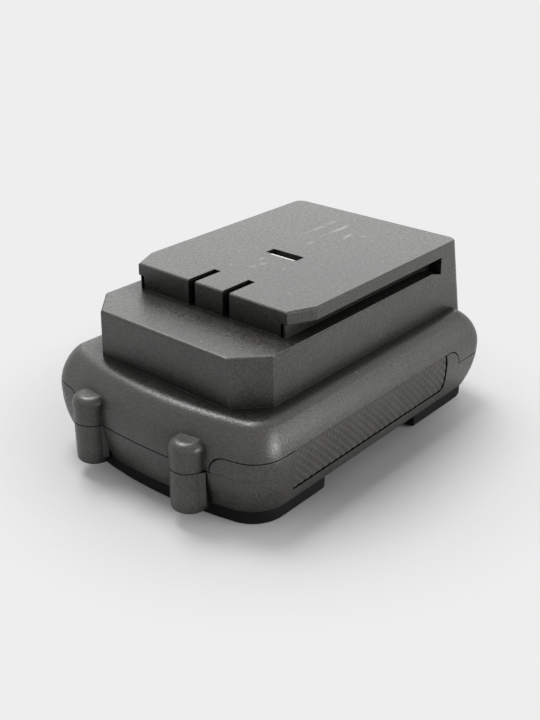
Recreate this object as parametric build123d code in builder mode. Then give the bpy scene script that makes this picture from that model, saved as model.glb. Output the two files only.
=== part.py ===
from build123d import *
import os
from math import atan, pi, sqrt

# Slide-on battery pack for a cordless tool, in millimetres.
# The terminal slots face -Y, +Z is up, and the origin is under the middle of the
# pack at the height of the surface that it stands on.

# Rounded body, seen from above
body_half_width = 39.35
body_front = -54.9
body_rear = 58.2
front_bow = 5.5
rear_bow = 6.0
front_corner_low = 11.0
front_corner_top = 6.0
rear_corner_low = 6.4
rear_corner_top = 3.4

# Rounded body, seen from the end
base_height = 4.7
widest_height = 17.3
ledge_height = 29.2
side_shoulder_spare = 5.1
rear_shoulder_spare = 1.7
side_underside_spare = 20.4
rear_underside_spare = 9.4
shoulder_steps = 3
shoulder_edge = 4.0
base_edge = 1.5
wall = 2.2
floor = 1.6

# Seam between the two shells
low_seam = 15.8
high_seam = 20.6
seam_gap = 0.25
front_seam_round = 4.2
rear_seam_round = 4.7
rear_seam_inset = 19.6
lip_depth = 1.2
lip_rise = 1.0
lip_gap = 0.1

# Tower with its stepped front
tower_half_width_top = 30.0
tower_side_lean = 0.6
tower_rear_inset = 9.4
tower_rear_lean = 4.0
tower_rear_corner = 3.0
tower_root = 22.0
tower_wall = 2.3
inner_corner = 1.5
step_inset = 10.9
step_lean = 0.15
step_chamfer_x = 7.7
step_chamfer_y = 8.4
step_edge = 0.7
plate_inset = 17.9
plate_chamfer_x = 3.45
plate_chamfer_y = 7.7
plate_edge = 0.35
total_height = 50.0
plate_thickness = 3.45
groove_height = 3.72
groove_inset = 8.9
groove_ramp_length = 5.0
groove_ramp_drop = 1.4
neck_half_width = 26.2
neck_corner = 0.5
neck_slit_place = 24.6
neck_slit_width = 0.9
neck_slit_depth = 2.4
roof = 2.2

# Terminal slots and the window in the plate
slot_spacing = 12.3
slot_width = 2.4
slot_length = 10.2
window_half_width = 5.6
window_inset = 29.5
window_length = 3.5
window_corner = 0.4

# Screw posts on the front
post_x = 17.95
post_inset = 1.7
post_radius = 5.0
post_bottom = 4.1
post_top = 23.6
post_top_edge = 2.4
post_bottom_edge = 0.8
post_seam_room = 6.55
post_web_half_width = 5.75
post_web_top = 4.75
post_web_reach = 1.5
post_web_bottom = 6.0

# Grip panels
grip_depth = 0.9
grip_front_inset = 17.3
grip_rear_room = 6.4
grip_bottom = 9.1
grip_edge_gap = 0.08
grip_groove = 0.75
grip_corner = 1.6

# Rubber feet
foot_inset = 3.2
foot_width = 8.0
foot_seat = 0.8
foot_edge = 1.8
front_foot_length = 33.3
rear_foot_length = 37.2

# Cells
cell_count = 5
cell_gap = 0.55
cell_front_room = 8.925
cell_rear_room = 10.225
cell_side_room = 6.75
cell_floor_room = 1.0
cell_cap_radius = 4.2
cell_rim = 1.2
cell_crimp = 0.5
cell_groove_place = 3.5

# Cell holders
holder_wall = 0.7
holder_rim = 1.2
holder_rim_wall = 1.1
holder_post_root = 9.6
cell_clearance = 0.12
rib_thickness = 1.6
rib_gap = 0.2
rib_top = 13.6
rib_places = [-30.0, 0.0, 30.0]

# Nickel strips and insulation
strip_thickness = 0.2
strip_half_height = 4.0
strip_end = 5.0
tab_width = 4.0
tab_gap = 0.2
riser_gap = 0.6
tab_shift = 3.0
sheet_thickness = 0.25
sheet_gap = 0.1

# Foam pads
pad_gap = 0.02
pad_half_width = 20.0
lower_pad_margin = 4.0
upper_pad_thickness = 1.6

# Circuit board
board_room = 4.53
board_thickness = 1.6
board_side_gap = 0.7
board_front_gap = 3.7
board_rear_gap = 2.9
board_corner = 5.0
board_post_radius = 1.8
board_screw_radius = 0.9
board_screw_head = 1.6
board_screw_head_height = 1.2
board_screw_depth = 4.0
thread_clearance = 0.02
hole_clearance = 0.3

# Terminal block and contacts
block_half_width = 12.0
block_gap = 0.25
block_top_gap = 0.1
block_back_wall = 2.4
contact_thickness = 0.5
contact_opening = 0.65
contact_grip = 0.2
contact_height = 3.4
contact_inset = 4.6
contact_pinch_place = 3.0
contact_bend_place = 9.0
contact_length = 11.1
contact_slot_gap = 0.05

# Parts on the board
transistor_size = (6.2, 9.0, 1.8)
transistor_tab = 1.6
transistor_tab_height = 0.6
transistor_places = [(-17.0, -2.0), (-17.0, 12.0), (17.0, -2.0), (17.0, 12.0)]
chip_size = (9.0, 9.0, 1.0)
chip_place = (0.0, 20.0)
shunt_size = (7.0, 3.4, 0.8)
shunt_place = (0.0, 33.0)
capacitor_radius = 3.1
capacitor_height = 4.6
capacitor_edge = 0.5
capacitor_place = (-17.0, 24.0)
small_part_size = (2.0, 1.2, 0.8)
small_part_columns = 4
small_part_rows = 3
small_part_pitch = (3.4, 2.6)
small_part_place = (15.0, 25.0)

# Temperature sensor
sensor_radius = 1.3
sensor_length = 3.6
lead_radius = 0.25
lead_spacing = 1.6
sensor_x = 10.0

# Case screws
screw_radius = 1.3
screw_head_radius = 2.3
screw_head_height = 1.8
screw_length = 14.0
screw_hole_spare = 0.6
screw_recess = 0.7
screw_recess_depth = 0.9
post_screw_seat = 7.4
rear_screw_x = 12.0
rear_screw_inset = 7.2
rear_screw_floor = 1.1
rear_boss_radius = 2.8
rear_boss_gap = 1.0
rear_collar_radius = 3.8
rear_collar_height = 2.0

# Release mechanism
button_half_width = 11.0
button_height = 10.2
button_top_inset = 3.4
button_proud = 3.4
button_round = 2.0
button_dish = 26.0
button_hollow = 0.6
button_edge = 0.8
button_gap = 0.3
button_travel = 3.0
flange_thickness = 1.8
flange_margin = 1.6
arm_side_gap = 0.35
arm_thickness = 2.0
arm_height = 7.6
arm_top_gap = 0.6
arm_nose = 4.75
cam_slope = 0.9
plunger_depth = 1.5
plunger_gap = 0.35
plunger_height = 8.7
plunger_edge = 0.3
pin_radius = 1.0
pin_rise = 2.8
pin_clearance = 0.08
guide_wall = 1.2
guide_gap = 0.2
spring_radius = 2.3
spring_wire = 0.5
spring_turns = 7
spring_room = 18.05
spring_drop = 4.4
channel_wall = 1.4
channel_front_room = 6.85
channel_rear_room = 8.05

# Heights and curves that follow
side_shoulder_radius = ledge_height - widest_height + side_shoulder_spare
rear_shoulder_radius = ledge_height - widest_height + rear_shoulder_spare
side_underside_radius = widest_height - base_height + side_underside_spare
rear_underside_radius = widest_height - base_height + rear_underside_spare
inner_floor = base_height + floor
inner_ceiling = ledge_height - wall
groove_top = total_height - plate_thickness
ledge_step = groove_top - groove_height
step_ceiling = ledge_step - roof
plate_ceiling = total_height - roof
foot_top = base_height + foot_seat
rear_boss_top = inner_ceiling - rear_boss_gap
rear_screw_seat = inner_floor + rear_screw_floor
rear_collar_top = rear_screw_seat + rear_collar_height

# Places along the pack that follow
post_y = body_front + post_inset
step_front_top = body_front + step_inset
step_front_base = step_front_top - step_lean
plate_front = step_front_top + plate_inset
slot_rear = plate_front + slot_length
window_front = plate_front + window_inset
window_rear = window_front + window_length
window_middle = (window_front + window_rear) / 2
tower_rear_top = body_rear - tower_rear_inset
tower_rear_base = tower_rear_top + tower_rear_lean
groove_end = tower_rear_top - groove_inset
seam_rise_y = body_rear - rear_seam_inset
seam_rise_x = post_x + post_seam_room
grip_front = body_front + grip_front_inset
grip_rear = seam_rise_y - grip_rear_room
front_foot_end = body_front + front_foot_length
rear_foot_end = body_rear - rear_foot_length
rear_screw_y = body_rear - rear_screw_inset
screw_spots = [((side * post_x, post_y), post_screw_seat) for side in (1, -1)]
screw_spots += [((side * rear_screw_x, rear_screw_y), rear_screw_seat) for side in (1, -1)]
sides = {"right": 1, "left": -1}

# Inner faces of the tower
tower_half_width_base = tower_half_width_top + tower_side_lean
tower_inner = tower_half_width_top - tower_wall
neck_inner = neck_half_width - tower_wall
tower_inner_front = step_front_top + tower_wall
neck_inner_front = plate_front + tower_wall
tower_inner_rear = tower_rear_top - tower_wall

# Cells, holders and board, fitted into the case
row_space = body_rear - cell_rear_room - body_front - cell_front_room
cell_radius = (row_space - (cell_count - 1) * cell_gap) / cell_count / 2
cell_pitch = 2 * cell_radius + cell_gap
cell_places = [body_front + cell_front_room + cell_radius + cell_pitch * i for i in range(cell_count)]
cell_row_middle = (cell_places[0] + cell_places[-1]) / 2
row_length = cell_places[-1] - cell_places[0]
cell_height = inner_floor + cell_floor_room + cell_radius
cell_top = cell_height + cell_radius
cell_end = body_half_width - cell_side_room
holder_radius = cell_radius + cell_clearance + holder_wall
holder_top = cell_height + holder_radius
board_bottom = holder_top + board_room
board_top = board_bottom + board_thickness
board_half_width = tower_inner - board_side_gap
board_front = tower_inner_front + board_front_gap
board_rear = tower_inner_rear - board_rear_gap
board_post_x = board_half_width - board_post_radius
holder_inner = board_post_x - board_post_radius
tab_places = [place + tab_shift for place in cell_places[:-1]] + [cell_places[-1] - tab_shift]
board_post_places = [(tab_places[0] + tab_places[1]) / 2, (tab_places[-2] + tab_places[-1]) / 2]
board_screw_spots = [(side * board_post_x, place) for side in (1, -1) for place in board_post_places]

# Terminal block and contacts, fitted behind the slots
block_front = neck_inner_front + block_gap
block_top = plate_ceiling - block_top_gap
contact_front = plate_front + contact_inset
contact_pinch = contact_front + contact_pinch_place
contact_bend = contact_front + contact_bend_place
contact_heel = contact_front + contact_length
block_rear = contact_heel + block_back_wall
contact_outer = contact_opening + contact_thickness
contact_low = ledge_step + contact_slot_gap

# Release mechanism, fitted into the tower
button_high = total_height - button_top_inset
button_low = button_high - button_height
button_middle = (button_low + button_high) / 2
opening_low = button_low - button_gap
opening_high = button_high + button_gap
flange_rear = tower_inner_rear - contact_slot_gap
flange_front = flange_rear - flange_thickness
flange_half_width = button_half_width + flange_margin
flange_low = button_low - flange_margin
flange_high = plate_ceiling - button_gap
plunger_half_width = window_half_width - plunger_gap
plunger_front = window_front + plunger_gap
plunger_rear = window_rear - plunger_gap
plunger_top = total_height - plunger_depth
plunger_low = plunger_top - plunger_height
arm_inner = plunger_half_width + arm_side_gap
arm_outer = arm_inner + arm_thickness
arm_high = plate_ceiling - arm_top_gap
arm_low = arm_high - arm_height
arm_front = window_middle - arm_nose
pin_height = arm_low + pin_rise
guide_half_width = plunger_half_width - guide_gap
guide_front = plunger_front - guide_gap
guide_rear = plunger_rear + guide_gap
channel_inner = arm_outer + guide_gap
channel_outer = channel_inner + channel_wall
channel_low = arm_low - guide_gap - channel_wall
channel_front = window_middle + channel_front_room
channel_rear = flange_front - channel_rear_room
spring_axis_height = plate_ceiling - spring_drop
spring_seat_y = flange_front - spring_room
spring_seat_front = spring_seat_y - channel_wall
seat_half_width = arm_inner - guide_gap
spring_peg_radius = spring_radius - spring_wire / 2 - guide_gap
spring_peg_length = 2.0


def arc_fall(distance, radius):
    """How far a circle of this radius falls back from its widest line."""
    return radius - sqrt(radius**2 - distance**2)


def outline(inset, height, side_radius, rear_radius):
    """The body's outline at one height, drawn in by an inset."""
    climb = height - widest_height
    side = arc_fall(climb, side_radius) + inset
    back = arc_fall(climb, rear_radius) + inset
    half = body_half_width - side
    front = body_front + side
    rear = body_rear - back
    share = max(climb, 0) / (ledge_height - widest_height)
    front_corner = front_corner_low + (front_corner_top - front_corner_low) * share
    rear_corner = rear_corner_low + (rear_corner_top - rear_corner_low) * share
    with BuildSketch(Plane.XY.offset(height)) as face:
        with BuildLine():
            ThreePointArc((-half, front + front_bow), (0, front), (half, front + front_bow))
            Line((half, front + front_bow), (half, rear - rear_bow))
            ThreePointArc((half, rear - rear_bow), (0, rear), (-half, rear - rear_bow))
            Line((-half, rear - rear_bow), (-half, front + front_bow))
        make_face()
        fillet(face.vertices().group_by(Axis.Y)[0], max(front_corner - inset, 1.0))
        fillet(face.vertices().group_by(Axis.Y)[-1], max(rear_corner - inset, 1.0))
    return face.sketch


def body_form(inset, bottom, top, top_edge, bottom_edge):
    """The closed rounded body between two heights, drawn in by an inset."""
    under = [bottom, (bottom + widest_height) / 2, widest_height]
    over = [widest_height + (top - widest_height) * i / shoulder_steps for i in range(shoulder_steps + 1)]
    with BuildPart() as form:
        loft([outline(inset, h, side_underside_radius, rear_underside_radius) for h in under])
        loft([outline(inset, h, side_shoulder_radius, rear_shoulder_radius) for h in over])
        if top_edge:
            fillet(form.faces().sort_by(Axis.Z)[-1].edges(), top_edge)
        if bottom_edge:
            fillet(form.faces().sort_by(Axis.Z)[0].edges(), bottom_edge)
    return form.part


def seam_region(rise):
    """The space under the seam, lifted and widened by a rise."""
    reach = 2 * body_rear
    width = 2 * body_half_width
    with BuildPart() as region:
        with BuildSketch(Plane.XZ.offset(-reach)):
            for side in sides.values():
                with BuildLine():
                    Polyline(
                        (side * (seam_rise_x - rise), 0),
                        (side * (seam_rise_x - rise), high_seam + rise),
                        (side * width, high_seam + rise),
                        (side * width, 0),
                        close=True,
                    )
                make_face()
        extrude(amount=2 * reach)
        inner = region.edges().filter_by(Axis.Y).filter_by_position(
            Axis.X, -seam_rise_x, seam_rise_x).group_by(Axis.Z)[-1]
        fillet(inner, front_seam_round)
        with BuildSketch(Plane.YZ.offset(-width)):
            with BuildLine():
                Polyline(
                    (-reach, 0),
                    (-reach, high_seam + rise),
                    (seam_rise_y + rise, high_seam + rise),
                    (seam_rise_y + rise, 0),
                    close=True,
                )
            corner = make_face()
            fillet(corner.vertices().group_by(Axis.Y)[-1].sort_by(Axis.X)[-1], rear_seam_round)
        extrude(amount=2 * width, mode=Mode.INTERSECT)
        with Locations((0, 0, 0)):
            Box(2 * width, 2 * reach, low_seam + rise, align=(Align.CENTER, Align.CENTER, Align.MIN))
    return region.part


def tower_outline(height, half_width, front, rear, chamfer_x, chamfer_y, corner):
    """One level of the tower: cut front corners and rounded rear ones."""
    with BuildSketch(Plane.XY.offset(height)) as face:
        with BuildLine():
            Polyline(
                (-half_width + chamfer_x, front),
                (half_width - chamfer_x, front),
                (half_width, front + chamfer_y),
                (half_width, rear),
                (-half_width, rear),
                (-half_width, front + chamfer_y),
                close=True,
            )
        make_face()
        fillet(face.vertices().group_by(Axis.Y)[-1], corner)
    return face.sketch


def tower_share(height):
    """How far up the tower a height lies, from 0 at its base to 1 at the plate's top."""
    return (height - ledge_height) / (total_height - ledge_height)


def tower_half_width(height):
    return tower_half_width_base + (tower_half_width_top - tower_half_width_base) * tower_share(height)


def tower_rear(height):
    return tower_rear_base + (tower_rear_top - tower_rear_base) * tower_share(height)


def plate_level(height, inset):
    """The plate's outline at one height, drawn in by an inset."""
    return tower_outline(height, tower_half_width(height) - inset, plate_front + inset,
                         tower_rear(height) - inset, plate_chamfer_x, plate_chamfer_y,
                         tower_rear_corner - inset)


def plate_form():
    """The top plate and its neck as one block, before the grooves are cut."""
    edge_start = total_height - plate_edge
    with BuildPart() as form:
        loft([plate_level(ledge_step, 0), plate_level(edge_start, 0)])
        loft([plate_level(edge_start, 0), plate_level(total_height, plate_edge)])
    return form.part


def box_between(low, high, mode=Mode.ADD):
    """A box from its lowest to its highest corner, in the part being built."""
    size = [high[i] - low[i] for i in range(3)]
    middle = tuple((low[i] + high[i]) / 2 for i in range(3))
    with Locations(middle):
        Box(*size, mode=mode)


def cylinder_between(place, low, high, radius, mode=Mode.ADD):
    """An upright cylinder at a place seen from above, between two heights."""
    with Locations((place[0], place[1], low)):
        Cylinder(radius, high - low, align=(Align.CENTER, Align.CENTER, Align.MIN), mode=mode)


def side_box(side, near, far, front, rear, low, high, mode=Mode.ADD):
    """A box on one side, given by its nearest and farthest distance from the middle."""
    edges = sorted((side * near, side * far))
    box_between((edges[0], front, low), (edges[1], rear, high), mode)


def post_half(side, low, high, end, edge):
    """One shell's length of a screw post, rounded at its free end: -1 is the top, 0 the bottom."""
    with BuildPart() as post:
        cylinder_between((side * post_x, post_y), low, high, post_radius)
        fillet(post.faces().sort_by(Axis.Z)[end].edges(), edge)
    return post.part


# Forms that both shells share
body = body_form(0, base_height, ledge_height, shoulder_edge, base_edge)
cavity = body_form(wall, inner_floor, inner_ceiling, 0, 0)
lip_form = body_form(lip_depth, inner_floor, inner_ceiling, 0, 0)
lip_recess_form = body_form(lip_depth - lip_gap, inner_floor, inner_ceiling, 0, 0)
grip_floor = body_form(grip_depth, base_height, ledge_height, 0, 0)
under_seam = seam_region(0)
under_gap = seam_region(seam_gap)
under_lip = seam_region(lip_rise)
under_lip_recess = seam_region(lip_rise + seam_gap)
lip = (lip_form & under_lip) - cavity
lip_recess = lip_recess_form & under_lip_recess

# Upper shell: rounded shoulders, stepped tower, plate, grooves, slots and window
with BuildPart() as upper_shell:
    add(body)
    loft([
        tower_outline(h, tower_half_width(h), front, tower_rear(h), step_chamfer_x, step_chamfer_y,
                      tower_rear_corner)
        for h, front in ((tower_root, step_front_base), (ledge_step, step_front_top))
    ])
    step_face = upper_shell.faces().sort_by(Axis.Z)[-1]
    fillet(step_face.edges().filter_by_position(Axis.Y, -body_rear, plate_front), step_edge)
    add(plate_form())
    box_between((-body_half_width, -body_rear, ledge_step), (body_half_width, groove_end, groove_top),
                Mode.SUBTRACT)
    with BuildSketch(Plane.XY.offset(ledge_step)) as neck:
        with Locations((0, (groove_end + plate_front) / 2)):
            Rectangle(2 * neck_half_width, groove_end - plate_front)
        fillet(neck.vertices().group_by(Axis.Y)[0], neck_corner)
    extrude(amount=groove_height)
    for side in sides.values():
        with BuildSketch(Plane.YZ.offset(side * neck_half_width)):
            with BuildLine():
                Polyline(
                    (groove_end - groove_ramp_length, ledge_step),
                    (groove_end, ledge_step),
                    (groove_end, ledge_step - groove_ramp_drop),
                    close=True,
                )
            make_face()
        extrude(amount=side * body_half_width, mode=Mode.SUBTRACT)
    for side in sides.values():
        side_box(side, neck_slit_place, neck_slit_place + neck_slit_width, step_front_top,
                 plate_front + neck_slit_depth, ledge_step, groove_top, Mode.SUBTRACT)
        box_between((side * slot_spacing / 2 - slot_width / 2, step_front_top, ledge_step),
                    (side * slot_spacing / 2 + slot_width / 2, slot_rear, 2 * total_height),
                    Mode.SUBTRACT)
    add(cavity, mode=Mode.SUBTRACT)
    step_hollow = tower_outline(widest_height, tower_inner, tower_inner_front, tower_inner_rear,
                                step_chamfer_x, step_chamfer_y, inner_corner)
    extrude(to_extrude=step_hollow, amount=step_ceiling - widest_height, mode=Mode.SUBTRACT)
    box_between((-neck_inner, neck_inner_front, widest_height),
                (neck_inner, tower_inner_rear, plate_ceiling), Mode.SUBTRACT)

    # Screw posts and rear bosses
    for side in sides.values():
        add(post_half(side, low_seam, post_top, -1, post_top_edge))
        cylinder_between((side * rear_screw_x, rear_screw_y), low_seam, rear_boss_top, rear_boss_radius)
    add(under_gap, mode=Mode.SUBTRACT)
    add(lip_recess, mode=Mode.SUBTRACT)
    for place, seat in screw_spots:
        cylinder_between(place, seat, seat + screw_length + screw_hole_spare,
                         screw_radius + thread_clearance, Mode.SUBTRACT)

    # Guides under the plate for the button's arms, the plunger and the spring
    for side in sides.values():
        side_box(side, channel_inner, channel_outer, channel_front, channel_rear, channel_low,
                 plate_ceiling)
        side_box(side, arm_inner + guide_gap, channel_outer, channel_front, channel_rear, channel_low,
                 channel_low + channel_wall)
    box_between((-guide_half_width, guide_front - guide_wall, plunger_low),
                (guide_half_width, guide_front, plate_ceiling))
    box_between((-guide_half_width, guide_rear, plunger_low),
                (guide_half_width, guide_rear + guide_wall, plate_ceiling))
    box_between((-seat_half_width, spring_seat_front, arm_low),
                (seat_half_width, spring_seat_y, plate_ceiling))
    with BuildSketch(Plane.XZ.offset(-spring_seat_y)):
        with Locations((0, spring_axis_height)):
            Circle(spring_peg_radius)
    extrude(amount=-spring_peg_length)

    # Window in the plate and the button's opening in the rear wall
    with BuildSketch(Plane.XY.offset(plate_ceiling - roof)):
        with Locations((0, window_middle)):
            RectangleRounded(2 * window_half_width, window_rear - window_front, window_corner)
    extrude(amount=total_height, mode=Mode.SUBTRACT)
    with BuildSketch(Plane.XZ.offset(-flange_front)):
        with Locations((0, (opening_low + opening_high) / 2)):
            RectangleRounded(2 * (button_half_width + button_gap), opening_high - opening_low,
                             button_round + button_gap)
    extrude(amount=-body_rear, mode=Mode.SUBTRACT)


def grip_prism(side, front, rear, low, high):
    """The block that a grip panel or its seat is cut from."""
    with BuildPart() as prism:
        with BuildSketch(Plane.YZ.offset(side * tower_half_width_base)) as face:
            with Locations(((front + rear) / 2, (low + high) / 2)):
                Rectangle(rear - front, high - low)
            fillet(face.vertices().group_by(Axis.Y)[0].sort_by(Axis.X)[-1], grip_corner)
        extrude(amount=side * (body_half_width - tower_half_width_base + wall))
    return prism.part - grip_floor


def foot_outline(inset):
    """The feet's outline on the underside, drawn in from the body's widest line."""
    return outline(inset - arc_fall(base_height - widest_height, side_underside_radius), base_height,
                   side_underside_radius, side_underside_radius)


def foot_form(low, high, growth):
    """The ring under the body between two heights, which both feet are cut from."""
    with BuildPart() as ring:
        for inset, mode in ((foot_inset - growth, Mode.ADD),
                            (foot_inset + foot_width + growth, Mode.SUBTRACT)):
            face = foot_outline(inset).moved(Location((0, 0, low - base_height)))
            extrude(to_extrude=face, amount=high - low, mode=mode)
    return ring.part


def foot_piece(end, forward, low, high, growth):
    """One foot: the ring's part ahead of or behind its end line."""
    ring = foot_form(low, high, growth)
    with BuildPart() as piece:
        add(ring)
        reach = 2 * body_rear
        if forward:
            box_between((-reach, -reach, low), (reach, end + growth, high), Mode.INTERSECT)
        else:
            box_between((-reach, end - growth, low), (reach, reach, high), Mode.INTERSECT)
    return piece.part


# Lower shell: rounded underside, posts, lip, ribs and the seats of grips and feet
with BuildPart() as side_ribs:
    for side in sides.values():
        for place in rib_places:
            side_box(side, cell_end + holder_rim + rib_gap, body_half_width, place - rib_thickness / 2,
                     place + rib_thickness / 2, inner_floor, rib_top)
    add(lip_form, mode=Mode.INTERSECT)

with BuildPart() as lower_shell:
    add(body)
    add(under_seam, mode=Mode.INTERSECT)
    add(cavity, mode=Mode.SUBTRACT)
    add(lip)
    add(side_ribs.part)
    for side in sides.values():
        add(post_half(side, post_bottom, low_seam, 0, post_bottom_edge))
        cylinder_between((side * rear_screw_x, rear_screw_y), inner_floor - floor / 2, low_seam,
                         rear_boss_radius)
        cylinder_between((side * rear_screw_x, rear_screw_y), inner_floor - floor / 2, rear_collar_top,
                         rear_collar_radius)
        with BuildSketch(Plane.XY.offset(post_web_bottom)):
            with BuildLine():
                Polyline(
                    (side * post_x - post_web_half_width, post_y),
                    (side * post_x - post_web_top, post_y - post_web_reach),
                    (side * post_x + post_web_top, post_y - post_web_reach),
                    (side * post_x + post_web_half_width, post_y),
                    close=True,
                )
            make_face()
        extrude(amount=low_seam - post_web_bottom)
        add(grip_prism(side, grip_front, grip_rear, grip_bottom, high_seam + wall), mode=Mode.SUBTRACT)
    for forward, end in ((True, front_foot_end), (False, rear_foot_end)):
        add(foot_piece(end, forward, 0, foot_top, seam_gap / 2), mode=Mode.SUBTRACT)
    for place, seat in screw_spots:
        cylinder_between(place, 0, seat, screw_head_radius + hole_clearance, Mode.SUBTRACT)
        cylinder_between(place, 0, low_seam + wall, screw_radius + hole_clearance, Mode.SUBTRACT)

# Grip panels and feet
grips = {}
for name, side in sides.items():
    with BuildPart() as grip:
        add(grip_prism(side, grip_front + grip_edge_gap, grip_rear - grip_groove,
                       grip_bottom + grip_groove, high_seam + seam_gap - grip_edge_gap))
        add(body, mode=Mode.INTERSECT)
    grips[name] = grip

with BuildPart() as front_foot:
    add(foot_piece(front_foot_end, True, 0, foot_top, 0))
    fillet(front_foot.faces().sort_by(Axis.Z)[0].edges(), foot_edge)

with BuildPart() as rear_foot:
    add(foot_piece(rear_foot_end, False, 0, foot_top, 0))
    fillet(rear_foot.faces().sort_by(Axis.Z)[0].edges(), foot_edge)


# Cells, lying across the case with their positive ends on alternate sides
def cell_piece(place, side):
    with BuildPart() as cell:
        with BuildSketch(Plane.YZ.offset(-side * cell_end)):
            with Locations((place, cell_height)):
                Circle(cell_radius)
        extrude(amount=side * 2 * cell_end)
        with BuildSketch(Plane.YZ.offset(side * cell_end)):
            with Locations((place, cell_height)):
                Circle(cell_radius - cell_rim)
                Circle(cell_cap_radius, mode=Mode.SUBTRACT)
        extrude(amount=-side * cell_crimp, mode=Mode.SUBTRACT)
        with BuildSketch(Plane.YZ.offset(side * (cell_end - cell_groove_place))):
            with Locations((place, cell_height)):
                Circle(cell_radius)
                Circle(cell_radius - cell_crimp, mode=Mode.SUBTRACT)
        extrude(amount=-side * 2 * cell_crimp, mode=Mode.SUBTRACT)
    return cell


cells = [cell_piece(place, 1 if i % 2 == 0 else -1) for i, place in enumerate(cell_places)]
strips = {
    "strip_minus": ("left", 0, 0, 0),
    "strip_1_2": ("right", 0, 1, 0),
    "strip_2_3": ("left", 1, 2, 1),
    "strip_3_4": ("right", 2, 3, 2),
    "strip_4_5": ("left", 3, 4, 3),
    "strip_plus": ("right", 4, 4, 4),
}

# Holders that grip the cells' ends and carry the board
holders = {}
for name, side in sides.items():
    with BuildPart() as holder:
        with BuildSketch(Plane.YZ.offset(side * holder_inner)):
            with Locations((cell_row_middle, cell_height)):
                SlotCenterToCenter(row_length, 2 * holder_radius)
        extrude(amount=side * (cell_end + holder_rim - holder_inner))
        with BuildSketch(Plane.YZ.offset(side * cell_end)):
            with Locations((cell_row_middle, cell_height)):
                SlotCenterToCenter(row_length, 2 * (holder_radius - holder_rim_wall))
        extrude(amount=side * holder_rim, mode=Mode.SUBTRACT)
        with BuildSketch(Plane.YZ.offset(side * holder_inner)):
            with Locations([(place, cell_height) for place in cell_places]):
                Circle(cell_radius + cell_clearance)
        extrude(amount=side * (cell_end - holder_inner), mode=Mode.SUBTRACT)
        for strip_side, first, last, tab in strips.values():
            if strip_side == name:
                side_box(side, cell_end, body_half_width,
                         tab_places[tab] - tab_width / 2 - hole_clearance,
                         tab_places[tab] + tab_width / 2 + hole_clearance,
                         cell_height, total_height, Mode.SUBTRACT)
        for place in board_post_places:
            spot = (side * board_post_x, place)
            cylinder_between(spot, cell_height + holder_post_root, board_bottom, board_post_radius)
            cylinder_between(spot, board_bottom - board_screw_depth, board_bottom,
                             board_screw_radius + thread_clearance, Mode.SUBTRACT)
    holders[name] = holder

# Nickel strips with their tabs up to the board
strip_parts = {}
tab_low = holder_top + tab_gap
riser_out = holder_inner - riser_gap
for name, (side_name, first, last, tab) in strips.items():
    side = sides[side_name]
    tab_front = tab_places[tab] - tab_width / 2
    tab_rear = tab_places[tab] + tab_width / 2
    with BuildPart() as strip:
        side_box(side, cell_end, cell_end + strip_thickness, cell_places[first] - strip_end,
                 cell_places[last] + strip_end, cell_height - strip_half_height,
                 cell_height + strip_half_height)
        side_box(side, cell_end, cell_end + strip_thickness, tab_front, tab_rear, cell_height,
                 tab_low + strip_thickness)
        side_box(side, riser_out - strip_thickness, cell_end + strip_thickness, tab_front, tab_rear,
                 tab_low, tab_low + strip_thickness)
        side_box(side, riser_out - strip_thickness, riser_out, tab_front, tab_rear, tab_low, board_bottom)
    strip_parts[name] = strip

# Insulation sheets over the strips, and foam pads under and over the cells
sheets = {}
for name, side in sides.items():
    with BuildPart() as sheet:
        with BuildSketch(Plane.YZ.offset(side * (cell_end + strip_thickness))):
            with Locations((cell_row_middle, cell_height)):
                SlotCenterToCenter(row_length, 2 * (holder_radius - holder_rim_wall - sheet_gap))
        extrude(amount=side * sheet_thickness)
    sheets[name] = sheet

with BuildPart() as lower_cell_pad:
    box_between((-pad_half_width, cell_places[0] - cell_radius + lower_pad_margin, inner_floor),
                (pad_half_width, cell_places[-1] + cell_radius - lower_pad_margin,
                 cell_height - cell_radius - pad_gap))

sensor_y = cell_places[cell_count // 2]
sensor_height = cell_top + sensor_radius + pad_gap
with BuildPart() as upper_cell_pad:
    box_between((-pad_half_width, cell_places[0], cell_top + pad_gap),
                (pad_half_width, cell_places[-1], cell_top + upper_pad_thickness))
    box_between((sensor_x - sensor_length, sensor_y - sensor_length, cell_top),
                (sensor_x + sensor_length, sensor_y + sensor_length, board_bottom), Mode.SUBTRACT)

with BuildPart() as temperature_sensor:
    with BuildSketch(Plane.YZ.offset(sensor_x - sensor_length / 2)):
        with Locations((sensor_y, sensor_height)):
            Circle(sensor_radius)
    extrude(amount=sensor_length)
    for side in sides.values():
        cylinder_between((sensor_x + side * lead_spacing / 2, sensor_y), sensor_height, board_bottom,
                         lead_radius)

# Circuit board and what it carries
with BuildPart() as circuit_board:
    box_between((-board_half_width, board_front, board_bottom), (board_half_width, board_rear, board_top))
    chamfer(circuit_board.edges().filter_by(Axis.Z), board_corner)
    for spot in board_screw_spots:
        cylinder_between(spot, board_bottom, board_top, board_screw_radius + hole_clearance, Mode.SUBTRACT)

with BuildPart() as board_screws:
    for spot in board_screw_spots:
        cylinder_between(spot, board_top, board_top + board_screw_head_height, board_screw_head)
        cylinder_between(spot, board_bottom - board_screw_depth + hole_clearance, board_top,
                         board_screw_radius)


def board_block(place, size):
    """A block that stands on the board, centred at a place."""
    with Locations((place[0], place[1], board_top)):
        Box(*size, align=(Align.CENTER, Align.CENTER, Align.MIN))


with BuildPart() as power_transistors:
    for place in transistor_places:
        board_block(place, transistor_size)
        behind = (place[0], place[1] + (transistor_size[1] + transistor_tab) / 2)
        board_block(behind, (transistor_size[0], transistor_tab, transistor_tab_height))

with BuildPart() as controller_chip:
    board_block(chip_place, chip_size)

with BuildPart() as shunt_resistor:
    board_block(shunt_place, shunt_size)

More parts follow.
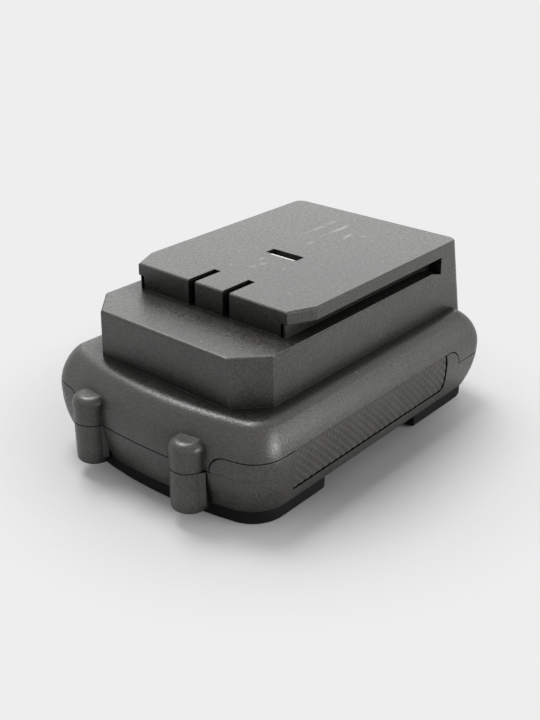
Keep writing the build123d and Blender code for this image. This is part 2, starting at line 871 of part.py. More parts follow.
with BuildPart() as capacitor:
    cylinder_between(capacitor_place, board_top, board_top + capacitor_height, capacitor_radius)
    fillet(capacitor.faces().sort_by(Axis.Z)[-1].edges(), capacitor_edge)

with BuildPart() as board_small_parts:
    with Locations((small_part_place[0], small_part_place[1], board_top)):
        with GridLocations(*small_part_pitch, small_part_columns, small_part_rows):
            Box(*small_part_size, align=(Align.CENTER, Align.CENTER, Align.MIN))

# Terminal block and its two fork contacts
with BuildPart() as terminal_block:
    box_between((-block_half_width, block_front, board_top), (block_half_width, block_rear, block_top))
    for side in sides.values():
        middle = side * slot_spacing / 2
        box_between((middle - slot_width / 2, block_front, ledge_step),
                    (middle + slot_width / 2, contact_heel + contact_slot_gap, block_top), Mode.SUBTRACT)
        tail_front = contact_heel - contact_thickness - contact_slot_gap
        box_between((middle - slot_width / 2, tail_front, board_top),
                    (middle + slot_width / 2, contact_heel + contact_slot_gap, ledge_step), Mode.SUBTRACT)

contacts = {}
for name, side in (("positive_contact", 1), ("negative_contact", -1)):
    middle = side * slot_spacing / 2
    with BuildPart() as contact:
        with BuildSketch(Plane.XY.offset(contact_low)):
            for leaf in (1, -1):
                with BuildLine():
                    Polyline(
                        (middle + leaf * contact_opening, contact_front),
                        (middle + leaf * contact_grip, contact_pinch),
                        (middle + leaf * contact_opening, contact_bend),
                        (middle + leaf * contact_opening, contact_heel),
                        (middle + leaf * contact_outer, contact_heel),
                        (middle + leaf * contact_outer, contact_bend),
                        (middle + leaf * (contact_grip + contact_thickness), contact_pinch),
                        (middle + leaf * contact_outer, contact_front),
                        close=True,
                    )
                make_face()
        extrude(amount=contact_height)
        box_between((middle - contact_outer, contact_heel - contact_thickness, board_top),
                    (middle + contact_outer, contact_heel, contact_low + contact_height))
    contacts[name] = contact


# Case screws, one in each front post and two at the rear
with BuildPart() as case_screws:
    for place, seat in screw_spots:
        head = seat - screw_head_height
        cylinder_between(place, head, seat, screw_head_radius)
        cylinder_between(place, seat, seat + screw_length, screw_radius)
        for width, length in ((screw_recess, screw_head_radius), (screw_head_radius, screw_recess)):
            box_between((place[0] - width / 2, place[1] - length / 2, head),
                        (place[0] + width / 2, place[1] + length / 2, head + screw_recess_depth),
                        Mode.SUBTRACT)

# Release button with its two arms; pushed forward, its sloped slots lift the plunger
button_face = tower_rear(button_middle) + button_proud
with BuildPart() as release_button:
    with BuildSketch(Plane.XZ.offset(-flange_front)):
        with Locations((0, button_middle)):
            RectangleRounded(2 * button_half_width, button_high - button_low, button_round)
    extrude(amount=-(button_face - flange_front))
    fillet(release_button.faces().sort_by(Axis.Y)[-1].edges(), button_edge)
    with Locations(Location((0, button_face + button_dish - button_hollow, button_middle), (0, 90, 0))):
        Cylinder(button_dish, 2 * body_half_width, mode=Mode.SUBTRACT)
    box_between((-flange_half_width, flange_front, flange_low),
                (flange_half_width, flange_rear, flange_high))
    for side in sides.values():
        side_box(side, arm_inner, arm_outer, arm_front, flange_rear, arm_low, arm_high)
    cam_middle = (window_middle + button_travel / 2, pin_height + cam_slope * button_travel / 2, 0)
    cam_angle = atan(cam_slope) * 180 / pi
    with BuildSketch(Plane.YZ.offset(-arm_outer)):
        with Locations(Location(cam_middle, (0, 0, cam_angle))):
            SlotCenterToCenter(button_travel * sqrt(1 + cam_slope**2), 2 * (pin_radius + pin_clearance))
    extrude(amount=2 * arm_outer, mode=Mode.SUBTRACT)
    with BuildSketch(Plane.XZ.offset(-flange_front)):
        with Locations((0, spring_axis_height)):
            Circle(spring_peg_radius)
    extrude(amount=spring_peg_length)

with BuildPart() as release_plunger:
    box_between((-plunger_half_width, plunger_front, plunger_low),
                (plunger_half_width, plunger_rear, plunger_top))
    fillet(release_plunger.faces().sort_by(Axis.Z)[-1].edges(), plunger_edge)
    with BuildSketch(Plane.YZ.offset(-plunger_half_width)):
        with Locations((window_middle, pin_height)):
            Circle(pin_radius)
    extrude(amount=2 * plunger_half_width, mode=Mode.SUBTRACT)

with BuildPart() as cam_pin:
    with BuildSketch(Plane.YZ.offset(-arm_outer)):
        with Locations((window_middle, pin_height)):
            Circle(pin_radius)
    extrude(amount=2 * arm_outer)

# Return spring between its seat under the plate and the button's flange
spring_start = spring_seat_y + spring_wire / 2 + pad_gap
spring_stop = flange_front - spring_wire / 2 - pad_gap
spring_pitch = (spring_stop - spring_start) / spring_turns
with BuildPart() as button_spring:
    with BuildLine():
        coil = Helix(spring_pitch, spring_stop - spring_start, spring_radius,
                     center=(0, spring_start, spring_axis_height), direction=(0, 1, 0))
    with BuildSketch(Plane(origin=coil @ 0, z_dir=coil % 0)):
        Circle(spring_wire / 2)
    sweep()
print("least gap between the spring's turns", round(spring_pitch - spring_wire, 2))

nodes = {
    "upper_shell": upper_shell,
    "lower_shell": lower_shell,
    "grip_panel_right": grips["right"],
    "grip_panel_left": grips["left"],
    "front_foot": front_foot,
    "rear_foot": rear_foot,
    "cell_holder_right": holders["right"],
    "cell_holder_left": holders["left"],
    "insulation_right": sheets["right"],
    "insulation_left": sheets["left"],
    "lower_cell_pad": lower_cell_pad,
    "upper_cell_pad": upper_cell_pad,
    "temperature_sensor": temperature_sensor,
    "circuit_board": circuit_board,
    "board_screws": board_screws,
    "power_transistors": power_transistors,
    "controller_chip": controller_chip,
    "shunt_resistor": shunt_resistor,
    "capacitor": capacitor,
    "board_small_parts": board_small_parts,
    "terminal_block": terminal_block,
    "case_screws": case_screws,
    "release_button": release_button,
    "release_plunger": release_plunger,
    "cam_pin": cam_pin,
    "button_spring": button_spring,
}
nodes.update({f"cell_{i + 1}": cell for i, cell in enumerate(cells)})
nodes.update(strip_parts)
nodes.update(contacts)

os.makedirs("parts", exist_ok=True)
for name, piece in nodes.items():
    piece.part.label = name
    export_step(piece.part, f"parts/{name}.step")
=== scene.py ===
import math

import bpy
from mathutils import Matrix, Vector


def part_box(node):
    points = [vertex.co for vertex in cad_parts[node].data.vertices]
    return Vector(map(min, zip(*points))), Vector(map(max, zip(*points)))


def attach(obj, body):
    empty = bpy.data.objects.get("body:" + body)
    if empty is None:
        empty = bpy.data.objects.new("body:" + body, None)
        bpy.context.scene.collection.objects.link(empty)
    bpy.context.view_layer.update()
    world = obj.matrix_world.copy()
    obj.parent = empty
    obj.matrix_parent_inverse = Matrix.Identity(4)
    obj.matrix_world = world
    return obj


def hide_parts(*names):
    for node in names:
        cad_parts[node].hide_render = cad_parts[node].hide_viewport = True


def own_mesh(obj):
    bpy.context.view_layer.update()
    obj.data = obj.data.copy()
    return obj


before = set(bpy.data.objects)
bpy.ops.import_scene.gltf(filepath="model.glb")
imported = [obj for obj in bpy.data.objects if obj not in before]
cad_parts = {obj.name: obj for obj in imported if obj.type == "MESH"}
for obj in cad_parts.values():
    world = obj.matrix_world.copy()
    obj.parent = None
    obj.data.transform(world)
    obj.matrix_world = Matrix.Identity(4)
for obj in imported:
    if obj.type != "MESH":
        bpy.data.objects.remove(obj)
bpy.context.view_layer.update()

# Camera at the photograph's viewing angle
CAMERA_AZIMUTH = math.radians(40.48)
CAMERA_ELEVATION = math.radians(26.16)
CAMERA_PLACE = (0.16987, -0.20038, 0.14791)
CAMERA_LENS = 50.15
SENSOR = 36.0

# Floor, backdrop and lamps
FLOOR_RADIUS = 3.0
FLOOR_RINGS = 96
FLOOR_GREY = 0.84
BACKDROP_GREY = 0.855
FADE_START = 0.04
FADE_END = 0.1
SKY_STRENGTH = 0.16
KEY_PLACE = (-0.95, 1.15, 0.85)
KEY_SIZE = 1.3
KEY_POWER = 5.1
TOP_PLACE = (-0.5, 0.12, 1.1)
TOP_SIZE = 0.55
TOP_POWER = 9.0
SIDE_PLACE = (1.35, 0.4, 0.2)
SIDE_SIZE = 0.9
SIDE_POWER = 13.5
LAMP_TARGET = (0, 0, 0.02)

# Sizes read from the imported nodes, in metres
MM = 0.001
grip_low, grip_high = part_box("grip_panel_right")
shell_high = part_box("upper_shell")[1]

# The body's side, which the grip panels follow
WIDEST_HEIGHT = 17.3 * MM
UPPER_CURVE = 17.0 * MM
LOWER_CURVE = 33.0 * MM
GRIP_DEPTH = 0.85 * MM
GRIP_CORNER = 1.5 * MM

# Scale pattern of the grips
SCALE_PITCH = 2.508 * MM
SCALE_ROW = 1.19 * MM
SCALE_ROW_START = 0.41 * MM
SCALE_FIRST = 1.43 * MM
SCALE_BEND = 0.1 * MM
SCALE_LEAN = 0.28 * MM
SCALE_CROWN = 0.25
SCALE_RISE = 0.29 * MM
SCALE_STEP = 0.16 * MM
SCALE_FALL = 1.6
GRIP_COLUMNS = 690
GRIP_ROWS = 102
GRIP_BACK_ROWS = 6

# Bright lip along the front edge of the plate's window, and a painted shadow line before it
LIP_HALF_LENGTH = 4.3 * MM
LIP_SHIFT = 0.9 * MM
LIP_FRONT = 2.7 * MM
LIP_REAR = 3.36 * MM
LIP_HEIGHT = 0.07 * MM
LIP_EDGE = 0.05 * MM
LIP_END_POINTS = 7
LIP_LINE = 2.4 * MM
LIP_LINE_WIDTH = 0.34 * MM
LIP_LINE_END = 0.8 * MM
LIP_SHADOW_COLOUR = (0.004, 0.004, 0.004)

# Return spring of the button, built as one fixed coil; the real spring shortens as the button goes in
spring_low, spring_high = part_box("button_spring")
SPRING_WIRE = 0.25 * MM
SPRING_TURNS = 7
SPRING_STEPS = 40
WIRE_SIDES = 12

# Where a cell's sleeve ends, from the pack's middle
SLEEVE_END = 32.3 * MM

# Heights and widths of marks on the shells
STEP_HEIGHT = 42.83 * MM
PLATE_HEIGHT = shell_high[2]
SEAM_HEIGHT = 15.8 * MM
WITNESS_DROP = 0.75 * MM
WITNESS_WIDTH = 0.18 * MM
PARTING_WIDTH = 0.2 * MM
PARTING_FULL = -34 * MM
PARTING_END = -30 * MM
LINE_DEPTH = 1.2


def make_camera():
    camera = bpy.data.objects.new("camera", bpy.data.cameras.new("camera"))
    camera.data.sensor_width = SENSOR
    camera.data.lens = CAMERA_LENS
    camera.data.clip_start = 0.01
    camera.location = CAMERA_PLACE
    camera.rotation_euler = (math.pi / 2 - CAMERA_ELEVATION, 0, CAMERA_AZIMUTH)
    bpy.context.scene.collection.objects.link(camera)
    bpy.context.scene.camera = camera


class Tree:
    """A material's node tree with short calls for the nodes used here."""

    def __init__(self, name):
        self.material = bpy.data.materials.new(name)
        self.material.use_nodes = True
        self.nodes = self.material.node_tree.nodes
        self.links = self.material.node_tree.links
        self.shader = self.nodes["Principled BSDF"]
        self.output = self.nodes["Material Output"]
        place = self.nodes.new("ShaderNodeTexCoord")
        self.place = place.outputs["Object"]
        split = self.nodes.new("ShaderNodeSeparateXYZ")
        self.links.new(self.place, split.inputs[0])
        self.x, self.y, self.z = split.outputs

    def put(self, value, socket):
        """Joins a node's output to a socket, or writes a plain value into it."""
        if isinstance(value, bpy.types.NodeSocket):
            self.links.new(value, socket)
        else:
            socket.default_value = value

    def math(self, operation, *values):
        node = self.nodes.new("ShaderNodeMath")
        node.operation = operation
        for value, socket in zip(values, node.inputs):
            self.put(value, socket)
        return node.outputs[0]

    def ramp(self, value, low, high, out_low=0.0, out_high=1.0):
        """A smooth step between two input values."""
        node = self.nodes.new("ShaderNodeMapRange")
        node.interpolation_type = "SMOOTHSTEP"
        for socket, number in zip(node.inputs, (value, low, high, out_low, out_high)):
            self.put(number, socket)
        return node.outputs[0]

    def noise(self, scale, detail=2.0, roughness=0.5, stretch=(1, 1, 1)):
        shift = self.nodes.new("ShaderNodeMapping")
        shift.inputs["Scale"].default_value = stretch
        self.links.new(self.place, shift.inputs["Vector"])
        node = self.nodes.new("ShaderNodeTexNoise")
        node.inputs["Scale"].default_value = scale
        node.inputs["Detail"].default_value = detail
        node.inputs["Roughness"].default_value = roughness
        self.links.new(shift.outputs[0], node.inputs["Vector"])
        return node.outputs["Fac"]

    def cells(self, scale, output):
        node = self.nodes.new("ShaderNodeTexVoronoi")
        node.inputs["Scale"].default_value = scale
        self.links.new(self.place, node.inputs["Vector"])
        return node.outputs[output]

    def mix(self, factor, first, second):
        node = self.nodes.new("ShaderNodeMix")
        node.data_type = "RGBA"
        self.put(factor, node.inputs["Factor"])
        self.put(first, node.inputs["A"])
        self.put(second, node.inputs["B"])
        return node.outputs["Result"]

    def band(self, value, middle, width):
        """1 on a thin band of a coordinate and 0 away from it."""
        away = self.math("ABSOLUTE", self.math("SUBTRACT", value, middle))
        return self.ramp(away, width / 2, width, 1.0, 0.0)

    def bump(self, height, distance, normal=None):
        node = self.nodes.new("ShaderNodeBump")
        node.inputs["Distance"].default_value = distance
        node.inputs["Strength"].default_value = 1.0
        self.put(height, node.inputs["Height"])
        if normal is not None:
            self.links.new(normal, node.inputs["Normal"])
        return node.outputs[0]

    def soft_edges(self, radius):
        node = self.nodes.new("ShaderNodeBevel")
        node.samples = 8
        node.inputs["Radius"].default_value = radius
        return node.outputs[0]

    def painted_crease_shade(self, distance, power):
        """Painted shade: 1 in the open and lower in creases and recesses, from ambient occlusion."""
        node = self.nodes.new("ShaderNodeAmbientOcclusion")
        node.samples = 8
        node.inputs["Distance"].default_value = distance
        return self.math("POWER", node.outputs["AO"], power)

    def finish(self, colour, roughness, normal=None, metallic=0.0, specular=0.5):
        inputs = self.shader.inputs
        self.put((*colour, 1) if isinstance(colour, tuple) else colour, inputs["Base Color"])
        self.put(roughness, inputs["Roughness"])
        inputs["Metallic"].default_value = metallic
        self.put(specular, inputs["Specular IOR Level"])
        if normal is not None:
            self.links.new(normal, inputs["Normal"])
        return self.material


def dust(tree, scale, size):
    """Sparse pale specks of dust, 1 on a speck."""
    near = tree.ramp(tree.cells(scale, "Distance"), size * 0.6, size, 1.0, 0.0)
    pick = tree.nodes.new("ShaderNodeSeparateColor")
    tree.links.new(tree.cells(scale, "Color"), pick.inputs[0])
    return tree.math("MULTIPLY", near, tree.math("GREATER_THAN", pick.outputs[0], DUST_PICK))


def make_floor():
    """A round floor that takes the shadow and fades into the backdrop for the camera."""
    rim = [(FLOOR_RADIUS * math.cos(2 * math.pi * i / FLOOR_RINGS),
            FLOOR_RADIUS * math.sin(2 * math.pi * i / FLOOR_RINGS), 0) for i in range(FLOOR_RINGS)]
    mesh = bpy.data.meshes.new("floor")
    mesh.from_pydata(rim, [], [tuple(range(FLOOR_RINGS))])
    floor = bpy.data.objects.new("floor", mesh)
    bpy.context.scene.collection.objects.link(floor)
    tree = Tree("floor")
    material = tree.finish((FLOOR_GREY, FLOOR_GREY, FLOOR_GREY), 0.95, specular=0.0)
    reach = tree.math("SQRT", tree.math("ADD", tree.math("MULTIPLY", tree.x, tree.x),
                                        tree.math("MULTIPLY", tree.y, tree.y)))
    ray = tree.nodes.new("ShaderNodeLightPath")
    fade = tree.math("MULTIPLY", tree.ramp(reach, FADE_START, FADE_END), ray.outputs["Is Camera Ray"])
    clear = tree.nodes.new("ShaderNodeBsdfTransparent")
    blend = tree.nodes.new("ShaderNodeMixShader")
    tree.links.new(fade, blend.inputs[0])
    tree.links.new(tree.shader.outputs[0], blend.inputs[1])
    tree.links.new(clear.outputs[0], blend.inputs[2])
    tree.links.new(blend.outputs[0], tree.output.inputs[0])
    mesh.materials.append(material)


def make_world():
    """Plain pale backdrop for camera, mirror and glass rays, and a dimmer sky for the rest."""
    world = bpy.data.worlds.new("studio")
    bpy.context.scene.world = world
    world.use_nodes = True
    nodes, links = world.node_tree.nodes, world.node_tree.links
    sky = nodes["Background"]
    sky.inputs["Color"].default_value = (1, 1, 1, 1)
    sky.inputs["Strength"].default_value = SKY_STRENGTH
    backdrop = nodes.new("ShaderNodeBackground")
    backdrop.inputs["Color"].default_value = (BACKDROP_GREY, BACKDROP_GREY, BACKDROP_GREY, 1)
    ray = nodes.new("ShaderNodeLightPath")
    first = nodes.new("ShaderNodeMath")
    first.operation = "MAXIMUM"
    links.new(ray.outputs["Is Camera Ray"], first.inputs[0])
    links.new(ray.outputs["Is Glossy Ray"], first.inputs[1])
    second = nodes.new("ShaderNodeMath")
    second.operation = "MAXIMUM"
    links.new(first.outputs[0], second.inputs[0])
    links.new(ray.outputs["Is Transmission Ray"], second.inputs[1])
    blend = nodes.new("ShaderNodeMixShader")
    links.new(second.outputs[0], blend.inputs[0])
    links.new(sky.outputs[0], blend.inputs[1])
    links.new(backdrop.outputs[0], blend.inputs[2])
    links.new(blend.outputs[0], nodes["World Output"].inputs[0])


def area_lamp(name, place, target, size, power):
    lamp = bpy.data.lights.new(name, "AREA")
    lamp.size = size
    lamp.energy = power
    holder = bpy.data.objects.new(name, lamp)
    holder.location = place
    holder.rotation_euler = (Vector(target) - Vector(place)).to_track_quat("-Z", "Y").to_euler()
    bpy.context.scene.collection.objects.link(holder)


# Moulded case plastic: sparkling eroded grain, a smoother rubbed plate, scuffs and dust, and painted shade
# in creases
SHELL_COLOUR = (0.019, 0.018, 0.0162)
SHELL_PALE = (0.068, 0.065, 0.0565)
SCUFF_COLOUR = (0.36, 0.36, 0.35)
DUST_COLOUR = (0.5, 0.5, 0.47)
# Dark colour of the parting line, and of the painted shade in creases and recesses
JOINT_AND_SHADE_COLOUR = (0.012, 0.012, 0.011)
PARTING_SHADE = 0.55
CLOUD_SCALE = 90
CLOUD_SHARE = 0.2
GRAIN_SHARE = 0.8
DUST_SCALE = 260
DUST_SIZE = 0.09
DUST_SHARE = 0.5
DUST_PICK = 0.93
PLATE_RUB = 0.55
GRAIN_SCALE = 1900.0
GRAIN_DEPTH = 0.00007
# Reach and strength of the painted shade in creases
CREASE_SHADE_REACH = 9 * MM
CREASE_SHADE_POWER = 1.6
SHELL_SPECULAR = 0.85
SHELL_BEVEL = 0.25 * MM
STREAK_SCALE = 420
STREAK_STRETCH = (1.0, 0.3, 1.0)

# Scuffs on the plate: middle and reach along x and y in millimetres, and strength
SCUFFS = (
    ((-7.2, 31.0), (0.8, 10.5), 0.85),
    ((-1.6, 31.5), (0.9, 9.5), 0.9),
    ((4.0, 27.5), (1.0, 5.5), 0.7),
    ((7.6, 32.0), (0.6, 1.2), 0.7),
    ((-0.6, 17.5), (0.7, 2.6), 0.5),
    ((-6.8, -10.9), (1.3, 1.6), 0.7),
    ((-1.3, -12.7), (0.9, 1.2), 0.5),
    ((-0.9, -8.0), (1.2, 1.7), 0.6),
    ((0.0, -4.3), (1.0, 1.3), 0.7),
    ((-2.8, -1.5), (0.3, 1.1), 1.0),
    ((7.0, -3.6), (0.4, 0.8), 0.9),
)


def scuffs(tree):
    """Pale streaks where the plate has been rubbed, broken up by a fine noise."""
    total = None
    streak = tree.ramp(tree.noise(STREAK_SCALE, 4.0, 0.65, STREAK_STRETCH), 0.38, 0.62)
    for (x, y), (reach_x, reach_y), strength in SCUFFS:
        across = tree.math("DIVIDE", tree.math("SUBTRACT", tree.x, x * MM), reach_x * MM)
        along = tree.math("DIVIDE", tree.math("SUBTRACT", tree.y, y * MM), reach_y * MM)
        away = tree.math("ADD", tree.math("MULTIPLY", across, across),
                         tree.math("MULTIPLY", along, along))
        patch = tree.math("MULTIPLY", tree.ramp(away, 0.1, 1.0, strength, 0.0), streak)
        total = patch if total is None else tree.math("MAXIMUM", total, patch)
    top = tree.ramp(tree.z, PLATE_HEIGHT - 0.2 * MM, PLATE_HEIGHT - 0.05 * MM)
    return tree.math("MULTIPLY", total, top)


def shell_material(name, upper_marks):
    """Case plastic: with scuffs, a painted shadow line before the window lip and the step line above, or
    the parting line below, and painted shade in creases.
    """
    tree = Tree(name)
    grain = tree.noise(GRAIN_SCALE, 3.0, 0.6)
    cloud = tree.noise(CLOUD_SCALE, 3.0)
    tone = tree.math("ADD", tree.math("MULTIPLY", tree.ramp(cloud, 0.35, 0.7), CLOUD_SHARE),
                     tree.math("MULTIPLY", tree.ramp(grain, 0.42, 0.62), GRAIN_SHARE))
    colour = tree.mix(tone, (*SHELL_COLOUR, 1), (*SHELL_PALE, 1))
    specks = tree.math("MULTIPLY", dust(tree, DUST_SCALE, DUST_SIZE), DUST_SHARE)
    colour = tree.mix(specks, colour, (*DUST_COLOUR, 1))
    rough = tree.ramp(tree.noise(GRAIN_SCALE * 0.6, 2.0), 0.3, 0.7, 0.27, 0.42)
    height = grain
    if upper_marks:
        colour = tree.mix(scuffs(tree), colour, (*SCUFF_COLOUR, 1))
        top = tree.ramp(tree.z, PLATE_HEIGHT - 0.3 * MM, PLATE_HEIGHT - 0.1 * MM)
        rub = tree.math("MULTIPLY", top, PLATE_RUB)
        height = tree.math("MULTIPLY", grain, tree.math("SUBTRACT", 1.0, rub))
        # Painted shadow: a dark band on the plate just before the window's lip
        beside = tree.math("ABSOLUTE", tree.math("SUBTRACT", tree.x, LIP_SHIFT))
        beside = tree.ramp(beside, LIP_HALF_LENGTH - LIP_LINE_END, LIP_HALF_LENGTH, 1.0, 0.0)
        painted_shadow_line = tree.math("MULTIPLY", tree.band(tree.y, LIP_LINE, LIP_LINE_WIDTH), beside)
        colour = tree.mix(tree.math("MULTIPLY", painted_shadow_line, top), colour, (*LIP_SHADOW_COLOUR, 1))
        line = tree.band(tree.z, STEP_HEIGHT - WITNESS_DROP, WITNESS_WIDTH)
        height = tree.math("SUBTRACT", height, tree.math("MULTIPLY", line, LINE_DEPTH))
    else:
        front = tree.ramp(tree.y, PARTING_FULL, PARTING_END, 1.0, 0.0)
        line = tree.math("MULTIPLY", tree.band(tree.z, SEAM_HEIGHT, PARTING_WIDTH), front)
        height = tree.math("SUBTRACT", height, tree.math("MULTIPLY", line, LINE_DEPTH))
        colour = tree.mix(tree.math("MULTIPLY", line, PARTING_SHADE), colour, (*JOINT_AND_SHADE_COLOUR, 1))
    normal = tree.bump(height, GRAIN_DEPTH, tree.soft_edges(SHELL_BEVEL))
    # Painted shade: colour and highlights are darkened in creases and recesses, from ambient occlusion
    painted_crease_shade = tree.painted_crease_shade(CREASE_SHADE_REACH, CREASE_SHADE_POWER)
    colour = tree.mix(painted_crease_shade, (*JOINT_AND_SHADE_COLOUR, 1), colour)
    return tree.finish(colour, rough, normal, specular=tree.math("MULTIPLY", painted_crease_shade, SHELL_SPECULAR))


def moulded(name, colour, roughness, grain=GRAIN_SCALE, depth=0.00004, specular=0.5, edges=0.12 * MM):
    """Plain moulded plastic or rubber with a fine grain and a little mottling."""
    tree = Tree(name)
    pale = tuple(min(1.0, part * 1.25 + 0.004) for part in colour)
    tone = tree.mix(tree.ramp(tree.noise(160, 3.0), 0.3, 0.75), (*colour, 1), (*pale, 1))
    rough = tree.ramp(tree.noise(grain * 0.5, 2.0), 0.3, 0.7, roughness - 0.05, roughness + 0.07)
    normal = tree.bump(tree.noise(grain, 2.0), depth, tree.soft_edges(edges))
    return tree.finish(tone, rough, normal, specular=specular)


def metal(name, colour, roughness, brush=(1, 1, 1), scale=900.0, depth=0.00001, metallic=1.0):
    """Bare or plated metal with fine rolling or drawing marks."""
    tree = Tree(name)
    dull = tuple(part * 0.72 for part in colour)
    marks = tree.noise(scale, 3.0, 0.6, brush)
    tone = tree.mix(tree.ramp(marks, 0.3, 0.7), (*dull, 1), (*colour, 1))
    rough = tree.ramp(marks, 0.3, 0.7, roughness + 0.08, roughness - 0.04)
    normal = tree.bump(marks, depth, tree.soft_edges(0.06 * MM))
    return tree.finish(tone, rough, normal, metallic=metallic)


def board_material():
    """Green solder mask with darker bare laminate and traces under it."""
    tree = Tree("solder_mask")
    lanes = tree.nodes.new("ShaderNodeTexBrick")
    lanes.inputs["Scale"].default_value = 210.0
    lanes.inputs["Mortar Size"].default_value = 0.035
    tree.links.new(tree.place, lanes.inputs["Vector"])
    tone = tree.mix(lanes.outputs["Fac"], (0.02, 0.12, 0.05, 1), (0.035, 0.19, 0.08, 1))
    normal = tree.bump(lanes.outputs["Fac"], 0.00003, tree.soft_edges(0.05 * MM))
    return tree.finish(tone, tree.ramp(tree.noise(500), 0.3, 0.7, 0.25, 0.38), normal)


def cell_material():
    """Shrink sleeve over the cell's side and bare nickel-plated steel at its ends."""
    tree = Tree("cell_sleeve")
    ends = tree.ramp(tree.math("ABSOLUTE", tree.x), SLEEVE_END, SLEEVE_END + 0.06 * MM)
    mottle = tree.ramp(tree.noise(60, 2.0), 0.3, 0.7)
    sleeve = tree.mix(mottle, (0.09, 0.25, 0.38, 1), (0.11, 0.3, 0.45, 1))
    tone = tree.mix(ends, sleeve, (0.62, 0.6, 0.56, 1))
    normal = tree.bump(tree.noise(300, 2.0), 0.00003)
    material = tree.finish(tone, tree.ramp(tree.noise(220), 0.3, 0.7, 0.28, 0.4), normal)
    tree.links.new(ends, tree.shader.inputs["Metallic"])
    return material


def dress(node, material):
    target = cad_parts[node]
    target.data.materials.clear()
    target.data.materials.append(material)


def make_piece(name, points, faces, smooth=False):
    """Links a new mesh object made of these points and faces."""
    mesh = bpy.data.meshes.new(name)
    mesh.from_pydata(points, [], faces)
    if smooth:
        mesh.polygons.foreach_set("use_smooth", [True] * len(faces))
    piece = bpy.data.objects.new(name, mesh)
    bpy.context.scene.collection.objects.link(piece)
    return piece


def side_place(height):
    """How far out the body's side lies at one height."""
    climb = height - WIDEST_HEIGHT
    curve = UPPER_CURVE if climb > 0 else LOWER_CURVE
    return shell_high[0] - (curve - math.sqrt(curve**2 - climb**2))


def scale_height(along, up):
    """Height of the staggered rows of scales, whose free ends face the pack's front."""
    row = math.floor((up + SCALE_ROW_START) / SCALE_ROW)
    across = 2 * ((up + SCALE_ROW_START) / SCALE_ROW - row) - 1
    shift = SCALE_FIRST + (row % 2) * SCALE_PITCH / 2 - SCALE_BEND * across**2 - SCALE_LEAN * across
    past = (along - shift) % SCALE_PITCH
    if past > SCALE_PITCH - SCALE_STEP:
        level = (past - SCALE_PITCH + SCALE_STEP) / SCALE_STEP
    else:
        level = 1 - (past / (SCALE_PITCH - SCALE_STEP))**SCALE_FALL
    return level * SCALE_RISE * (1 - SCALE_CROWN * across**2)


def make_grip(side, name):
    """One grip panel as a closed mesh: scaled face, edge walls and plain back."""
    front, low = grip_low[1], grip_low[2]
    rear, high = grip_high[1], grip_high[2]
    width = GRIP_COLUMNS + 1
    step = GRIP_ROWS // GRIP_BACK_ROWS
    points = []
    for row in list(range(GRIP_ROWS + 1)) + list(range(0, GRIP_ROWS + 1, step)):
        back = len(points) >= width * (GRIP_ROWS + 1)
        up = low + (high - low) * row / GRIP_ROWS
        rise = max(GRIP_CORNER - (up - low), 0.0)
        stop = rear - (GRIP_CORNER - math.sqrt(GRIP_CORNER**2 - rise**2))
        out = side_place(up)
        for column in range(width):
            along = front + (stop - front) * column / GRIP_COLUMNS
            depth = GRIP_DEPTH if back else SCALE_RISE - scale_height(along - front, high - up)
            points.append((side * (out - depth), along, up))
    sheet = width * (GRIP_ROWS + 1)
    top, back_top = GRIP_ROWS * width, sheet + GRIP_BACK_ROWS * width
    faces = []
    for row in range(GRIP_ROWS):
        for a in range(row * width, row * width + GRIP_COLUMNS):
            faces.append((a, a + 1, a + 1 + width, a + width))
    for row in range(GRIP_BACK_ROWS):
        for a in range(sheet + row * width, sheet + row * width + GRIP_COLUMNS):
            faces.append((a, a + width, a + 1 + width, a + 1))
        rows = range(row * step, (row + 1) * step + 1)
        a = sheet + row * width
        b = a + GRIP_COLUMNS
        faces.append((a + width, a, *[width * i for i in rows]))
        faces.append((b, b + width, *[width * i + GRIP_COLUMNS for i in reversed(rows)]))
    for column in range(GRIP_COLUMNS):
        faces.append((column + 1, column, sheet + column, sheet + column + 1))
        faces.append((top + column, top + column + 1, back_top + column + 1, back_top + column))
    if side < 0:
        faces = [tuple(reversed(face)) for face in faces]
    return make_piece(name, points, faces, smooth=True)


def make_lip(name):
    """The thin bright lip on the window's front edge: rounded ends and a softened upper edge."""
    middle = (LIP_FRONT + LIP_REAR) / 2
    half = (LIP_REAR - LIP_FRONT) / 2
    rim = []
    for end in (1, -1):
        for i in range(LIP_END_POINTS):
            turn = math.pi * (i / (LIP_END_POINTS - 1) - 0.5)
            rim.append((end * (LIP_HALF_LENGTH - half + half * math.cos(turn)),
                        middle + end * half * math.sin(turn)))
    count = len(rim)
    points = []
    for inset, height in ((0.0, -LIP_HEIGHT), (0.0, LIP_HEIGHT - LIP_EDGE), (LIP_EDGE, LIP_HEIGHT)):
        for x, y in rim:
            points.append((LIP_SHIFT + x * (1 - inset / LIP_HALF_LENGTH),
                           middle + (y - middle) * (1 - inset / half), PLATE_HEIGHT + height))
    faces = [tuple(reversed(range(count))), tuple(range(2 * count, 3 * count))]
    for ring in range(2):
        for i in range(count):
            a, b = ring * count + i, ring * count + (i + 1) % count
            faces.append((a, b, b + count, a + count))
    return make_piece(name, points, faces)


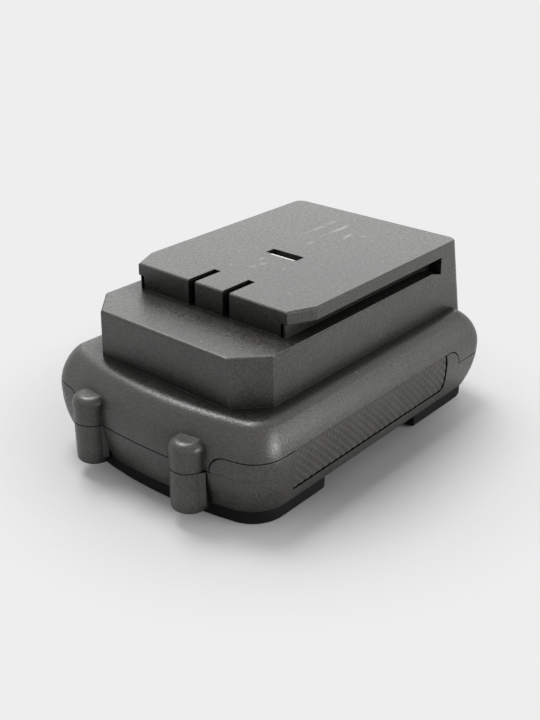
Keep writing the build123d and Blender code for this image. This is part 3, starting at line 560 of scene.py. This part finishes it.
def make_spring(name):
    """The return spring as one closed coil of round wire."""
    radius = (spring_high[2] - spring_low[2]) / 2 - SPRING_WIRE
    middle = (spring_high[2] + spring_low[2]) / 2
    start, stop = spring_low[1] + SPRING_WIRE, spring_high[1] - SPRING_WIRE
    steps = SPRING_TURNS * SPRING_STEPS
    points = []
    for i in range(steps + 1):
        turn = 2 * math.pi * SPRING_TURNS * i / steps
        along = start + (stop - start) * i / steps
        for j in range(WIRE_SIDES):
            angle = 2 * math.pi * j / WIRE_SIDES
            out = radius + SPRING_WIRE * math.cos(angle)
            points.append((out * math.cos(turn), along + SPRING_WIRE * math.sin(angle),
                           middle + out * math.sin(turn)))
    faces = [tuple(reversed(range(WIRE_SIDES))), tuple(range(steps * WIRE_SIDES, (steps + 1) * WIRE_SIDES))]
    for i in range(steps):
        for j in range(WIRE_SIDES):
            a = i * WIRE_SIDES + j
            b = i * WIRE_SIDES + (j + 1) % WIRE_SIDES
            faces.append((a, b, b + WIRE_SIDES, a + WIRE_SIDES))
    return make_piece(name, points, faces, smooth=True)


upper = shell_material("case_plastic_upper", True)
lower = shell_material("case_plastic_lower", False)
button = moulded("button_plastic", SHELL_COLOUR, 0.5, depth=0.00006)
grip = moulded("grip_plastic", (0.056, 0.054, 0.05), 0.5, depth=0.00003, edges=0.04 * MM)
rubber = moulded("foot_rubber", (0.006, 0.005, 0.005), 0.8, 1800, 0.00005, 0.2, 0.3 * MM)
holder = moulded("holder_plastic", (0.02, 0.02, 0.02), 0.5)
block = moulded("block_plastic", (0.02, 0.02, 0.02), 0.45)
component = moulded("component_epoxy", (0.015, 0.015, 0.015), 0.4)
bead = moulded("sensor_epoxy", (0.02, 0.02, 0.02), 0.2, 700, 0.00002)
foam = moulded("closed_cell_foam", (0.05, 0.05, 0.055), 0.9, 900, 0.00012, 0.2)
paper = moulded("insulation_paper", (0.75, 0.73, 0.66), 0.8, 500, 0.00005, 0.3)
nickel = metal("nickel_strip", (0.62, 0.6, 0.56), 0.3, (1, 1, 0.1))
steel = metal("zinc_plated_steel", (0.55, 0.55, 0.56), 0.35)
bright = metal("plunger_steel", (0.88, 0.88, 0.86), 0.45, (0.08, 1, 1), metallic=0.3)
contact = metal("plated_contact", (0.72, 0.62, 0.38), 0.28, (1, 0.1, 1))
brass = metal("shunt_alloy", (0.6, 0.4, 0.25), 0.32, (0.1, 1, 1))
can = metal("capacitor_can", (0.7, 0.7, 0.72), 0.36, (1, 1, 0.1))

dressing = {
    "upper_shell": upper, "lower_shell": lower, "release_button": button,
    "grip_panel_right": grip, "grip_panel_left": grip, "front_foot": rubber, "rear_foot": rubber,
    "cell_holder_right": holder, "cell_holder_left": holder, "terminal_block": block,
    "power_transistors": component, "controller_chip": component, "board_small_parts": component,
    "temperature_sensor": bead, "lower_cell_pad": foam, "upper_cell_pad": foam,
    "insulation_right": paper, "insulation_left": paper, "circuit_board": board_material(),
    "board_screws": steel, "case_screws": steel, "cam_pin": steel, "button_spring": steel,
    "release_plunger": bright, "positive_contact": contact, "negative_contact": contact,
    "shunt_resistor": brass, "capacitor": can,
}
cell = cell_material()
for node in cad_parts:
    if node.startswith("strip_"):
        dressing[node] = nickel
    elif node.startswith("cell_") and node not in dressing:
        dressing[node] = cell
    dress(node, dressing[node])

for name, side in (("right", 1), ("left", -1)):
    piece = make_grip(side, f"scaled_grip_{name}")
    piece.data.materials.append(grip)
    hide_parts(f"grip_panel_{name}")
    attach(piece, "case")

lip = make_lip("window_lip")
lip.data.materials.append(bright)
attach(lip, "case")

spring = make_spring("return_spring")
spring.data.materials.append(steel)
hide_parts("button_spring")
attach(spring, "case")
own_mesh(spring)

make_camera()
make_floor()
make_world()
area_lamp("key", KEY_PLACE, LAMP_TARGET, KEY_SIZE, KEY_POWER)
area_lamp("top", TOP_PLACE, LAMP_TARGET, TOP_SIZE, TOP_POWER)
area_lamp("side", SIDE_PLACE, LAMP_TARGET, SIDE_SIZE, SIDE_POWER)

bpy.context.scene.view_settings.view_transform = "Standard"
